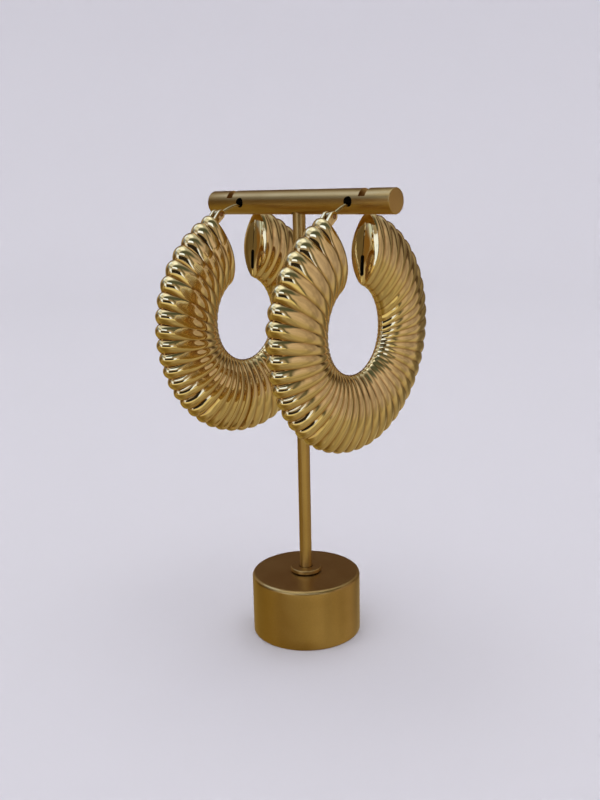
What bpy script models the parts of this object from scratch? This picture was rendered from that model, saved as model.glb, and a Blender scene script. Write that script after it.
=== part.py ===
"""A pair of puffed, ribbed hoop earrings hanging on a T-bar display stand.

X runs along the cross bar, -Y is the front, where the hoops are hinged, +Z is up.
The origin is the middle of the base's underside. Lengths are in metres.
"""
import math

import bmesh
import bpy
import numpy as np

MM = 0.001

# The stand
BASE_RADIUS = 14.8 * MM
BASE_HEIGHT = 16.8 * MM
BASE_TOP_ROUND = 1.0 * MM
BASE_FOOT_CHAMFER = 0.5 * MM
COLLAR_RADIUS = 4.2 * MM
COLLAR_HEIGHT = 1.0 * MM
COLLAR_CHAMFER = 0.25 * MM
POST_RADIUS = 1.65 * MM
POST_SOCKET_IN_BASE = 8.0 * MM
POST_SOCKET_IN_BAR = 3.0 * MM
BAR_LENGTH = 60.0 * MM
BAR_RADIUS = 3.1 * MM
BAR_AXIS_HEIGHT = 116.3 * MM
BAR_END_CHAMFER = 0.25 * MM
HOLE_SPACING = 36.0 * MM
HOLE_RADIUS = 1.25 * MM
GROOVE_SPACING = 43.8 * MM
GROOVE_WIDTH = 2.0 * MM
GROOVE_DEPTH = 1.9 * MM
SEAT_GAP = 0.3 * MM
SOCKET_CLEARANCE = 0.2 * MM

# The hoops, each in its own plane across the bar
HOOP_OUTER_RADIUS = 31.2 * MM
HOOP_INNER_RADIUS = 11.1 * MM
HOOP_THICKNESS = 9.4 * MM
HOOP_LEAN = math.radians(7.0)
FRONT_END_ANGLE = math.radians(12.0)
BACK_END_ANGLE = math.radians(14.5)
FAN_POINT_DROP = 8.0 * MM
FRONT_OUTER_TAPER = 0.8 * MM
BACK_OUTER_TAPER = 1.3 * MM
INNER_END_TAPER = 0.3 * MM
END_TAPER_ANGLE = math.radians(32.0)
ALMOND_POINT = 0.3
RIB_COUNT = 44
RIB_DEPTH = 0.95 * MM
FLANK_RELIEF = 0.45
BEAD_STARTS = 0.1
BACK_RELIEF = 0.35
SHALLOWER_FROM = math.radians(110.0)
SHALLOWEST_FROM = math.radians(175.0)
END_RIB_SQUEEZE = 0.45
END_RIB_REACH = 1.35
HOOP_WALL = 0.8 * MM
SLOT_WIDTH = 0.9 * MM
SLOT_LENGTH = 4.9 * MM
SLOT_ABOVE_TIP = 2.3 * MM

# The hinge, placed from the bar's axis, and the ear wire. The hoop hangs from the hinge
HINGE_FORWARD = 9.8 * MM
HINGE_DROP = 3.24 * MM
LUG_RADIUS = 1.2 * MM
LUG_THICKNESS = 0.8 * MM
LUG_REACH = 2.3 * MM
LUG_RISE = -0.16 * MM
LUG_ROOT_DEPTH = 0.9 * MM
LUG_ROOT_INSET = 0.5 * MM
LUG_ROOT_WIDTH = 1.9 * MM
HINGE_CLEARANCE = 0.15 * MM
PIN_RADIUS = 0.45 * MM
PIN_PROUD = 0.1 * MM
EYE_RADIUS = 1.05 * MM
EYE_THICKNESS = 1.0 * MM
WIRE_RADIUS = 0.4 * MM
WIRE_BEND_REACH = 7.6 * MM
WIRE_REACH = 17.4 * MM
WIRE_STRAIGHTNESS = 1.25

# How far each earring has slid from the place that the other sizes give it
LEFT_SLIDE_FORWARD = 1.3 * MM
LEFT_LIFT = 0.5 * MM

ROUND_SIDES = 48
BAR_SIDES = 36
SMALL_SIDES = 20
WIRE_SIDES = 8
RINGS_ON_A_RIB = (0.0, 0.27, 0.73)
HOOP_SIDES = 18
HOLLOW_RINGS = 22
HOLLOW_SIDES = 12


def material(name, colour, roughness):
    """A metal finish with the base colour and the roughness given."""
    made = bpy.data.materials.new(name)
    made.use_nodes = True
    shader = made.node_tree.nodes["Principled BSDF"]
    shader.inputs["Base Color"].default_value = (*colour, 1.0)
    shader.inputs["Metallic"].default_value = 1.0
    shader.inputs["Roughness"].default_value = roughness
    return made


def mesh_object(name, points, faces, finish=None):
    """One object from points and faces, its normals turned outwards."""
    mesh = bpy.data.meshes.new(name)
    mesh.from_pydata([tuple(p) for p in points], [], [tuple(f) for f in faces])
    shape = bmesh.new()
    shape.from_mesh(mesh)
    bmesh.ops.recalc_face_normals(shape, faces=shape.faces)
    shape.to_mesh(mesh)
    shape.free()
    mesh.shade_smooth()
    mesh.set_sharp_from_angle(angle=math.radians(35))
    made = bpy.data.objects.new(name, mesh)
    bpy.context.collection.objects.link(made)
    if finish:
        mesh.materials.append(finish)
    return made


def turned(name, profile, sides, finish=None, centre=(0.0, 0.0, 0.0), axis="Z"):
    """A body turned about an axis from a profile of (radius, height) pairs."""
    points = []
    rings = []
    for radius, height in profile:
        if radius == 0.0:
            rings.append([len(points)])
            points.append((0.0, 0.0, height))
            continue
        rings.append(list(range(len(points), len(points) + sides)))
        for step in range(sides):
            angle = 2.0 * math.pi * step / sides
            points.append((radius * math.cos(angle), radius * math.sin(angle), height))
    faces = []
    for low, high in zip(rings, rings[1:] + rings[:1]):
        if len(low) == 1 and len(high) == 1:
            continue
        for step in range(sides):
            after = (step + 1) % sides
            if len(low) == 1:
                faces.append((low[0], high[after], high[step]))
            elif len(high) == 1:
                faces.append((low[step], low[after], high[0]))
            else:
                faces.append((low[step], low[after], high[after], high[step]))
    turn = {"Z": (0, 1, 2), "X": (2, 0, 1), "Y": (1, 2, 0)}[axis]
    placed = [tuple(p[turn[k]] + centre[k] for k in range(3)) for p in points]
    return mesh_object(name, placed, faces, finish)


def rod_profile(radius, low, high, chamfer=0.0):
    """The profile of a plain rod, with both ends chamfered if asked."""
    if not chamfer:
        return [(0.0, low), (radius, low), (radius, high), (0.0, high)]
    return [(0.0, low), (radius - chamfer, low), (radius, low + chamfer),
            (radius, high - chamfer), (radius - chamfer, high), (0.0, high)]


def box(name, centre, size):
    """A plain block, used as a cutter."""
    corners = [tuple(centre[k] + size[k] * (0.5 if bit >> k & 1 else -0.5) for k in range(3))
               for bit in range(8)]
    sides = [(0, 2, 3, 1), (4, 5, 7, 6), (0, 1, 5, 4), (2, 6, 7, 3), (0, 4, 6, 2), (1, 3, 7, 5)]
    return mesh_object(name, corners, sides)


def join(target, tool, operation):
    """Cut a tool out of a piece, or weld it to the piece, and keep the tool as a hidden guide."""
    tool.hide_render = True
    tool.display_type = "WIRE"
    step = target.modifiers.new(tool.name, "BOOLEAN")
    step.operation = operation
    step.solver = "EXACT"
    step.object = tool


def build_stand(finish):
    """The base, the collar, the post and the cross bar."""
    socket_radius = POST_RADIUS + SOCKET_CLEARANCE
    socket_floor = BASE_HEIGHT - POST_SOCKET_IN_BASE
    edge = BASE_RADIUS - BASE_TOP_ROUND
    shoulder = BASE_HEIGHT - BASE_TOP_ROUND
    profile = [(0.0, socket_floor), (socket_radius, socket_floor), (socket_radius, BASE_HEIGHT)]
    for step in range(5):
        angle = math.pi / 2 * (1 - step / 4)
        profile.append((edge + BASE_TOP_ROUND * math.cos(angle),
                        shoulder + BASE_TOP_ROUND * math.sin(angle)))
    profile += [(BASE_RADIUS, BASE_FOOT_CHAMFER), (BASE_RADIUS - BASE_FOOT_CHAMFER, 0.0), (0.0, 0.0)]
    turned("base", profile, ROUND_SIDES, finish)

    collar_floor = BASE_HEIGHT + SEAT_GAP
    collar_top = collar_floor + COLLAR_HEIGHT
    turned("collar", [(socket_radius, collar_floor), (COLLAR_RADIUS, collar_floor),
                      (COLLAR_RADIUS, collar_top - COLLAR_CHAMFER),
                      (COLLAR_RADIUS - COLLAR_CHAMFER, collar_top), (socket_radius, collar_top)],
           BAR_SIDES, finish)

    bar_socket_top = BAR_AXIS_HEIGHT - BAR_RADIUS + POST_SOCKET_IN_BAR
    turned("post", rod_profile(POST_RADIUS, socket_floor + SEAT_GAP, bar_socket_top - SEAT_GAP),
           SMALL_SIDES, finish)

    bar = turned("cross_bar", rod_profile(BAR_RADIUS, -BAR_LENGTH / 2, BAR_LENGTH / 2, BAR_END_CHAMFER),
                 BAR_SIDES, finish, (0.0, 0.0, BAR_AXIS_HEIGHT), "X")
    socket = turned("bar_socket_cutter", rod_profile(socket_radius, -2 * BAR_RADIUS, 0.0), SMALL_SIDES,
                    centre=(0.0, 0.0, bar_socket_top))
    join(bar, socket, "DIFFERENCE")
    for side, word in ((-1, "left"), (1, "right")):
        hole = turned(f"hole_cutter_{word}", rod_profile(HOLE_RADIUS, -2 * BAR_RADIUS, 2 * BAR_RADIUS),
                      SMALL_SIDES, centre=(side * HOLE_SPACING / 2, 0.0, BAR_AXIS_HEIGHT), axis="Y")
        join(bar, hole, "DIFFERENCE")
        groove = box(f"groove_cutter_{word}",
                     (side * GROOVE_SPACING / 2, 0.0, BAR_AXIS_HEIGHT + BAR_RADIUS),
                     (GROOVE_WIDTH, 4 * BAR_RADIUS, 2 * GROOVE_DEPTH))
        join(bar, groove, "DIFFERENCE")


def fan_ray(angle):
    """Where the cut of a hoop at an angle from its opening starts, and which way it points.

    The cuts fan out from a point that moves down from the hoop's centre towards the opening,
    so the two end faces stand nearly parallel and the ribs at the bottom run straight out.
    """
    start = np.array([0.0, -FAN_POINT_DROP * math.cos(angle / 2) ** 2])
    return start, np.array([-math.sin(angle), math.cos(angle)])


def fan_reach(angle, radius):
    """How far along its ray a cut meets a circle about the hoop's centre."""
    drop = FAN_POINT_DROP * math.cos(angle / 2) ** 2
    return drop * math.cos(angle) + math.sqrt(radius ** 2 - (drop * math.sin(angle)) ** 2)


def rib_place(rib):
    """How far round a point on a rib lies, counted in full ribs: those at both ends are narrower."""
    lost = END_RIB_SQUEEZE * END_RIB_REACH
    from_back = math.exp((rib - RIB_COUNT) / END_RIB_REACH) - math.exp(-RIB_COUNT / END_RIB_REACH)
    return rib - lost * (1 - math.exp(-rib / END_RIB_REACH)) - lost * from_back


def rib_relief(angle, turn):
    """The ribs' height round a cut: full on the beads of the outer rim, less on the flanks.

    Beads and flanks meet in a smooth step, and another one makes the ribs shallower at the back.
    """
    bead = np.clip((np.cos(turn) - BEAD_STARTS) / (1 - BEAD_STARTS), 0.0, 1.0)
    share = FLANK_RELIEF + (1 - FLANK_RELIEF) * bead ** 2 * (3 - 2 * bead)
    round_back = min(max((angle - SHALLOWER_FROM) / (SHALLOWEST_FROM - SHALLOWER_FROM), 0.0), 1.0)
    return RIB_DEPTH * share * (1 - (1 - BACK_RELIEF) * round_back ** 2 * (3 - 2 * round_back))


def hoop_section(angle, sides, relief, inset):
    """One almond-shaped cut through a hoop, as rows of (across, back, up) in the hoop's frame.

    The cut lies from the inner rim to the outer rim. Both rims draw in near the ends. The relief
    raises the cut along its outline, by less at the inner rim, where the ribs run together.
    """
    at_front = angle < math.pi
    from_end = angle - FRONT_END_ANGLE if at_front else 2 * math.pi - BACK_END_ANGLE - angle
    taper = math.exp(-(from_end / END_TAPER_ANGLE) ** 2)
    outer_taper = (FRONT_OUTER_TAPER if at_front else BACK_OUTER_TAPER) * taper
    outer = fan_reach(angle, HOOP_OUTER_RADIUS - RIB_DEPTH - outer_taper - inset)
    inner = fan_reach(angle, HOOP_INNER_RADIUS + INNER_END_TAPER * taper + inset)
    middle = (outer + inner) / 2
    half = (outer - inner) / 2
    across = HOOP_THICKNESS / 2 - FLANK_RELIEF * RIB_DEPTH * middle / outer - inset
    start, along = fan_ray(angle)
    turn = 2 * math.pi * np.arange(sides) / sides
    wide = across * np.sin(turn) * (1 - ALMOND_POINT * np.cos(turn) ** 2)
    tall = middle + half * np.cos(turn)
    slope = np.stack([np.sin(turn) / across, np.cos(turn) / half], 1)
    slope /= np.linalg.norm(slope, axis=1)[:, None]
    raised = relief * rib_relief(angle, turn) * tall / outer
    wide = wide + slope[:, 0] * raised
    tall = tall + slope[:, 1] * raised
    return np.stack([wide, start[0] + along[0] * tall, start[1] + along[1] * tall], 1)


def skin(rings):
    """Points and faces of a closed tube through rings of equal length, its two ends capped."""
    count = len(rings[0])
    points = np.concatenate(rings)
    faces = []
    for ring in range(len(rings) - 1):
        for step in range(count):
            after = (step + 1) % count
            low = ring * count
            faces.append((low + step, low + after, low + count + after, low + count + step))
    faces.append(tuple(range(count))[::-1])
    faces.append(tuple(range(len(points) - count, len(points))))
    return points, faces


def face_frame(angle):
    """An end face's fan point, its direction outwards and the direction out of its face."""
    start, along = fan_ray(angle)
    side = 1.0 if angle < math.pi else -1.0
    return start, along, np.array([along[1], -along[0]]) * side


def front_tip():
    """The front end face's outer tip, its direction outwards and the direction out of its face."""
    start, along, out = face_frame(FRONT_END_ANGLE)
    reach = fan_reach(FRONT_END_ANGLE, HOOP_OUTER_RADIUS - RIB_DEPTH - FRONT_OUTER_TAPER)
    return start + along * reach, along, out


def hinge_centre():
    """The hinge pin's centre in the hoop's frame, held out from the front end face's outer tip."""
    tip, along, out = front_tip()
    return tip + along * LUG_RISE + out * LUG_REACH


def hang(points, pin):
    """Hoop-frame points leant back and hung with the hinge's centre at the pin's place."""
    points = np.atleast_2d(points)
    across, back, up = (points - (0.0, *hinge_centre())).T
    leant_back = back * math.cos(HOOP_LEAN) - up * math.sin(HOOP_LEAN)
    leant_up = back * math.sin(HOOP_LEAN) + up * math.cos(HOOP_LEAN)
    return np.stack([across + pin[0], leant_back + pin[1], leant_up + pin[2]], 1)


def lug_outline(centre):
    """A hinge lug in the hoop's plane: a root in the arm's end, drawn out to a round about the pin."""
    tip, along, out = front_tip()
    upper = tip - along * LUG_ROOT_INSET - out * LUG_ROOT_DEPTH
    lower = upper - along * LUG_ROOT_WIDTH
    reach = centre - (upper + lower) / 2
    ahead = reach / np.linalg.norm(reach)
    aside = np.array([-ahead[1], ahead[0]])
    outline = [lower]
    for step in range(9):
        angle = math.pi * (step / 8 - 0.5)
        outline.append(centre + LUG_RADIUS * (math.cos(angle) * ahead + math.sin(angle) * aside))
    return outline + [upper]


def slab(name, outline, low, high, pin):
    """A tool from an outline of (back, up) pairs in a hoop's plane, given a thickness across it."""
    count = len(outline)
    points = [(across, *point) for across in (low, high) for point in outline]
    faces = [(step, (step + 1) % count, count + (step + 1) % count, count + step)
             for step in range(count)]
    faces.append(tuple(range(count))[::-1])
    faces.append(tuple(range(count, 2 * count)))
    return mesh_object(name, hang(np.array(points), pin), faces)


def build_hoop(word, pin, finish):
    """One hollow ribbed hoop with its capped ends, its catch slot and its two hinge lugs."""
    first, last = FRONT_END_ANGLE, 2 * math.pi - BACK_END_ANGLE
    rings = []
    for rib in range(RIB_COUNT):
        for share in RINGS_ON_A_RIB:
            angle = first + (last - first) * rib_place(rib + share) / rib_place(RIB_COUNT)
            rings.append(hang(hoop_section(angle, HOOP_SIDES, math.sin(math.pi * share), 0.0), pin))
    rings.append(hang(hoop_section(last, HOOP_SIDES, 0.0, 0.0), pin))
    hoop = mesh_object(f"hoop_{word}", *skin(rings), finish)

    middle_radius = (HOOP_OUTER_RADIUS + HOOP_INNER_RADIUS) / 2
    cap_angle = 1.4 * HOOP_WALL / middle_radius
    hollow_angles = np.linspace(first + cap_angle, last - cap_angle, HOLLOW_RINGS)
    hollow_rings = [hang(hoop_section(angle, HOLLOW_SIDES, 0.0, HOOP_WALL), pin)
                    for angle in hollow_angles]
    join(hoop, mesh_object(f"hollow_cutter_{word}", *skin(hollow_rings)), "DIFFERENCE")

    start, along, out = face_frame(last)
    tip = fan_reach(last, HOOP_INNER_RADIUS + INNER_END_TAPER)
    low_end = start + along * (tip + SLOT_ABOVE_TIP)
    high_end = low_end + along * SLOT_LENGTH
    through = out * 3 * HOOP_WALL
    slot = [low_end + through, high_end + through, high_end - through, low_end - through]
    join(hoop, slab(f"slot_cutter_{word}", slot, -SLOT_WIDTH / 2, SLOT_WIDTH / 2, pin), "DIFFERENCE")

    outline = lug_outline(hinge_centre())
    inside = EYE_THICKNESS / 2 + HINGE_CLEARANCE
    outside = inside + LUG_THICKNESS
    for side, name in ((-1, "a"), (1, "b")):
        low, high = sorted((side * inside, side * outside))
        join(hoop, slab(f"lug_{name}_{word}", outline, low, high, pin), "UNION")
    bore_profile = rod_profile(PIN_RADIUS + HINGE_CLEARANCE, -2 * outside, 2 * outside)
    bore = turned(f"pin_bore_cutter_{word}", bore_profile, SMALL_SIDES, centre=pin, axis="X")
    join(hoop, bore, "DIFFERENCE")
    turned(f"hinge_pin_{word}", rod_profile(PIN_RADIUS, -outside - PIN_PROUD, outside + PIN_PROUD),
           SMALL_SIDES, finish, pin, "X")


def wire_route(pin):
    """Points up the middle of an ear wire, from the pin to its end behind the bar.

    The rise from the pin is a quarter wave raised to a power, and the rest runs level.
    """
    level = BAR_AXIS_HEIGHT - HOLE_RADIUS + SEAT_GAP + WIRE_RADIUS
    rise = level - pin[2]
    points = []
    for share in np.linspace(0.0, 1.0, 9):
        risen = math.sin(math.pi / 2 * share) ** WIRE_STRAIGHTNESS
        points.append((pin[0], pin[1] + WIRE_BEND_REACH * share, pin[2] + rise * risen))
    points.append((pin[0], pin[1] + WIRE_REACH, level))
    clear_of_pin = (EYE_RADIUS + PIN_RADIUS + HINGE_CLEARANCE) / 2
    first = np.array(points[0])
    towards = np.array(points[1]) - first
    points[0] = tuple(first + towards / np.linalg.norm(towards) * clear_of_pin)
    return np.array([p for k, p in enumerate(points) if k == 0 or p[1] > points[0][1] + WIRE_RADIUS])


def build_wire(word, pin, finish):
    """One ear wire: a flat eye round the hinge pin and a round wire through the bar's hole."""
    route = wire_route(pin)
    ahead = np.gradient(route, axis=0)
    ahead /= np.linalg.norm(ahead, axis=1)[:, None]
    rings = []
    for point, way in zip(route, ahead):
        sideways = np.array([0.0, -way[2], way[1]])
        turn = 2 * math.pi * np.arange(WIRE_SIDES) / WIRE_SIDES
        rings.append(point + WIRE_RADIUS * (np.cos(turn)[:, None] * np.array([1.0, 0.0, 0.0])
                                            + np.sin(turn)[:, None] * sideways))
    wire = mesh_object(f"ear_wire_{word}", *skin(rings), finish)
    bore = PIN_RADIUS + HINGE_CLEARANCE
    half = EYE_THICKNESS / 2
    washer = [(bore, -half), (EYE_RADIUS, -half), (EYE_RADIUS, half), (bore, half)]
    join(wire, turned(f"wire_eye_{word}", washer, SMALL_SIDES, centre=pin, axis="X"), "UNION")


for old in list(bpy.data.objects):
    bpy.data.objects.remove(old, do_unlink=True)

satin_gold = material("satin_gold", (0.55, 0.40, 0.20), 0.38)
polished_gold = material("polished_gold", (0.83, 0.67, 0.36), 0.12)
build_stand(satin_gold)
for side, word, forward, lift in ((-1, "left", LEFT_SLIDE_FORWARD, LEFT_LIFT), (1, "right", 0.0, 0.0)):
    pin_place = (side * HOLE_SPACING / 2, -HINGE_FORWARD - forward, BAR_AXIS_HEIGHT - HINGE_DROP + lift)
    build_hoop(word, pin_place, polished_gold)
    build_wire(word, pin_place, polished_gold)
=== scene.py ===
"""The looks of a pair of puffed, ribbed hoop earrings hanging on a satin gold T-bar stand.

Everything is in metres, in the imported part's frame: X runs along the cross bar, -Y is the front,
where the hoops are hinged, and +Z is up.
"""
import math

import bmesh
import bpy
import numpy as np
from mathutils import Matrix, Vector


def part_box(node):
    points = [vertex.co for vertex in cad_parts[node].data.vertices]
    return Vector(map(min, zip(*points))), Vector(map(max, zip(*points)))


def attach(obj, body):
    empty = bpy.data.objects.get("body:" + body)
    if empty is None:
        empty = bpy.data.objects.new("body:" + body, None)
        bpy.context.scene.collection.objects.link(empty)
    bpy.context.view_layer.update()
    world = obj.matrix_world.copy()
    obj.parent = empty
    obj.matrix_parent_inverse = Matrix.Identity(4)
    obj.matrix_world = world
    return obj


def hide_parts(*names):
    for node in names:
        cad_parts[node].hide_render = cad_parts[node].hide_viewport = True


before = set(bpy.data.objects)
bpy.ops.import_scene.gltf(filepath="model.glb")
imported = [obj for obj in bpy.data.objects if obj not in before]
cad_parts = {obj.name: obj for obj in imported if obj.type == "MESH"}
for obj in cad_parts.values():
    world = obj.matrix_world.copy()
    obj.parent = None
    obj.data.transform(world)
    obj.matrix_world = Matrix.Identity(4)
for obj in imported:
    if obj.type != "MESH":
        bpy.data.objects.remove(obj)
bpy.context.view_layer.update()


# Base: a heavy puck turned from steel bar and plated satin champagne gold. The lathe leaves its
# top edge rounded over and its foot lightly chamfered, and a blind socket takes the post.
MM = 0.001
BASE_RADIUS = 14.8 * MM
BASE_HEIGHT = 16.8 * MM
BASE_TOP_ROUND = 1.0 * MM
BASE_FOOT_ROUND = 0.5 * MM
BASE_FACE_RING = 2.0 * MM
BASE_WALL_RING = 3.0 * MM
SOCKET_RADIUS = 1.85 * MM
SOCKET_DEPTH = 8.0 * MM
WELD_WITHIN = 1e-7


def mesh_of(name, points, round_rows=False, sharp=35.0, inner_rows=0, creases=None):
    """A piece over a grid of points.

    Points next to each other in the grid share a quad. Each row closes on itself, the columns may
    too, and a row whose points all meet closes to a pole. Edges sharper than the angle, in
    degrees, stay crisp. The last rows of quads can be given the piece's second material, and each
    row of points its share of a crease, which the material reads as the attribute crease.
    """
    rows, columns = points.shape[:2]
    index = np.arange(rows * columns).reshape(rows, columns)
    index = np.concatenate([index, index[:, :1]], 1)
    if round_rows:
        index = np.concatenate([index, index[:1]], 0)
    quads = np.stack([index[:-1, :-1], index[:-1, 1:], index[1:, 1:], index[1:, :-1]], -1)
    mesh = bpy.data.meshes.new(name)
    mesh.from_pydata(points.reshape(-1, 3).tolist(), [], quads.reshape(-1, 4).tolist())
    inner = np.arange(len(quads)) >= len(quads) - inner_rows
    mesh.polygons.foreach_set("material_index", np.repeat(inner, quads.shape[1]).astype(np.int32))
    if creases is not None:
        layer = mesh.attributes.new("crease", "FLOAT", "POINT")
        layer.data.foreach_set("value", np.repeat(creases, columns).astype(np.float32))
    shape = bmesh.new()
    shape.from_mesh(mesh)
    bmesh.ops.remove_doubles(shape, verts=shape.verts, dist=WELD_WITHIN)
    bmesh.ops.recalc_face_normals(shape, faces=shape.faces)
    shape.to_mesh(mesh)
    shape.free()
    mesh.shade_smooth()
    mesh.set_sharp_from_angle(angle=math.radians(sharp))
    piece = bpy.data.objects.new(name, mesh)
    bpy.context.scene.collection.objects.link(piece)
    return piece


def lathed(profile, sides, axis="Z", centre=(0.0, 0.0, 0.0)):
    """A grid of points turned about an axis, with as many sides as are asked for.

    Each profile point (radius, height) gives the ring (radius cos t, radius sin t, height) for t
    once round, and the three numbers are then dealt out so that height runs along the axis.
    """
    profile = np.array(profile)
    t = np.linspace(0.0, 2 * np.pi, sides, endpoint=False)
    radius, height = profile[:, :1], profile[:, 1:]
    ring = np.stack([radius * np.cos(t), radius * np.sin(t), height + 0.0 * t], -1)
    order = {"Z": [0, 1, 2], "X": [2, 0, 1], "Y": [1, 2, 0]}[axis]
    return ring[..., order] + np.array(centre)


def rounded(corner, radius, start, end, steps=6):
    """Profile points on the arc of a rounded edge: its centre plus its radius at angles in degrees."""
    angle = np.radians(np.linspace(start, end, steps))
    return [(corner[0] + radius * math.cos(a), corner[1] + radius * math.sin(a)) for a in angle]


top_round_at = (BASE_RADIUS - BASE_TOP_ROUND, BASE_HEIGHT - BASE_TOP_ROUND)
foot_round_at = (BASE_RADIUS - BASE_FOOT_ROUND, BASE_FOOT_ROUND)
base_profile = [
    (0.0, BASE_HEIGHT - SOCKET_DEPTH),
    (SOCKET_RADIUS, BASE_HEIGHT - SOCKET_DEPTH),
    (SOCKET_RADIUS, BASE_HEIGHT),
    (BASE_RADIUS - BASE_TOP_ROUND - BASE_FACE_RING, BASE_HEIGHT),
    *rounded(top_round_at, BASE_TOP_ROUND, 90, 0, steps=12),
    (BASE_RADIUS, BASE_HEIGHT - BASE_WALL_RING),
    (BASE_RADIUS, BASE_WALL_RING),
    *rounded(foot_round_at, BASE_FOOT_ROUND, 0, -90),
    (0.0, 0.0),
]
base = mesh_of("base_shell", lathed(base_profile, sides=160))


def shader_group(name, inputs, outputs):
    """An empty shader node group with named sockets, and its input and output nodes."""
    group = bpy.data.node_groups.new(name, "ShaderNodeTree")
    for socket, kind, value in inputs:
        made = group.interface.new_socket(socket, in_out="INPUT", socket_type=kind)
        if value is not None:
            made.default_value = value
    for socket, kind in outputs:
        group.interface.new_socket(socket, in_out="OUTPUT", socket_type=kind)
    return group, group.nodes.new("NodeGroupInput"), group.nodes.new("NodeGroupOutput")


def node(tree, kind, **settings):
    """A new node in a tree: keywords set its own options, and the key inputs sets its sockets."""
    made = tree.nodes.new(kind)
    for socket, value in settings.pop("inputs", {}).items():
        made.inputs[socket].default_value = value
    for option, value in settings.items():
        setattr(made, option, value)
    return made


def colour_ramp(tree, low, high, start=0.0, end=1.0):
    """A ramp node that passes from one colour to another between two places on it."""
    made = node(tree, "ShaderNodeValToRGB")
    for element, place, colour in zip(made.color_ramp.elements, (start, end), (low, high)):
        element.position = place
        element.color = (*colour, 1.0)
    return made


def handling_marks():
    """What hands leave on plated metal, as a group.

    Smudges are soft noise pushed through a threshold. Hairlines are noise stretched along one
    way, kept where it crosses its middle value, and broken up by a second noise.
    """
    group, taken, given = shader_group(
        "handling_marks",
        [("Vector", "NodeSocketVector", None), ("Smudge Size", "NodeSocketFloat", 300.0),
         ("Hairline Size", "NodeSocketFloat", 900.0)],
        [("Smudges", "NodeSocketFloat"), ("Hairlines", "NodeSocketFloat")])
    link = group.links.new
    smudge = node(group, "ShaderNodeTexNoise", inputs={"Detail": 3.0, "Roughness": 0.55})
    link(taken.outputs["Vector"], smudge.inputs["Vector"])
    link(taken.outputs["Smudge Size"], smudge.inputs["Scale"])
    kept = node(group, "ShaderNodeMapRange", inputs={"From Min": 0.42, "From Max": 0.68})
    kept.interpolation_type = "SMOOTHSTEP"
    link(smudge.outputs["Fac"], kept.inputs["Value"])
    link(kept.outputs["Result"], given.inputs["Smudges"])
    stretch = node(group, "ShaderNodeMapping",
                   inputs={"Rotation": (0.3, 0.5, 0.7), "Scale": (1.0, 0.06, 0.4)})
    link(taken.outputs["Vector"], stretch.inputs["Vector"])
    line = node(group, "ShaderNodeTexNoise", inputs={"Detail": 2.0})
    link(stretch.outputs["Vector"], line.inputs["Vector"])
    link(taken.outputs["Hairline Size"], line.inputs["Scale"])
    from_middle = node(group, "ShaderNodeMath", operation="SUBTRACT", inputs={1: 0.5})
    link(line.outputs["Fac"], from_middle.inputs[0])
    distance = node(group, "ShaderNodeMath", operation="ABSOLUTE")
    link(from_middle.outputs[0], distance.inputs[0])
    thin = node(group, "ShaderNodeMapRange", inputs={"From Min": 0.012, "From Max": 0.0})
    link(distance.outputs[0], thin.inputs["Value"])
    broken = node(group, "ShaderNodeMath", operation="MULTIPLY")
    link(thin.outputs["Result"], broken.inputs[0])
    link(kept.outputs["Result"], broken.inputs[1])
    link(broken.outputs[0], given.inputs["Hairlines"])
    return group


def blasted_grain():
    """The fine matt grain of bead-blasted and plated steel, as a group.

    Height is fine noise plus a share of coarser noise, and Speckle is the fine noise with its
    contrast raised, for grains that catch the light.
    """
    group, taken, given = shader_group(
        "blasted_grain",
        [("Vector", "NodeSocketVector", None), ("Grain Size", "NodeSocketFloat", 6000.0)],
        [("Height", "NodeSocketFloat"), ("Speckle", "NodeSocketFloat")])
    link = group.links.new
    fine = node(group, "ShaderNodeTexNoise", inputs={"Detail": 2.0, "Roughness": 0.6})
    link(taken.outputs["Vector"], fine.inputs["Vector"])
    link(taken.outputs["Grain Size"], fine.inputs["Scale"])
    coarse = node(group, "ShaderNodeTexNoise", inputs={"Scale": 1400.0, "Detail": 1.0})
    link(taken.outputs["Vector"], coarse.inputs["Vector"])
    height = node(group, "ShaderNodeMath", operation="MULTIPLY_ADD", inputs={1: 0.4})
    link(coarse.outputs["Fac"], height.inputs[0])
    link(fine.outputs["Fac"], height.inputs[2])
    link(height.outputs[0], given.inputs["Height"])
    speckle = node(group, "ShaderNodeMapRange", inputs={"From Min": 0.35, "From Max": 0.65})
    link(fine.outputs["Fac"], speckle.inputs["Value"])
    link(speckle.outputs["Result"], given.inputs["Speckle"])
    return group


marks = handling_marks()
grain = blasted_grain()


def metal(name, metallic=1.0):
    """A new material of metal, with its node tree, its shader and the piece's own coordinates."""
    made = bpy.data.materials.new(name)
    made.use_nodes = True
    tree = made.node_tree
    shader = tree.nodes["Principled BSDF"]
    shader.inputs["Metallic"].default_value = metallic
    place = tree.nodes.new("ShaderNodeTexCoord").outputs["Object"]
    return made, tree, shader, place


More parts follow.
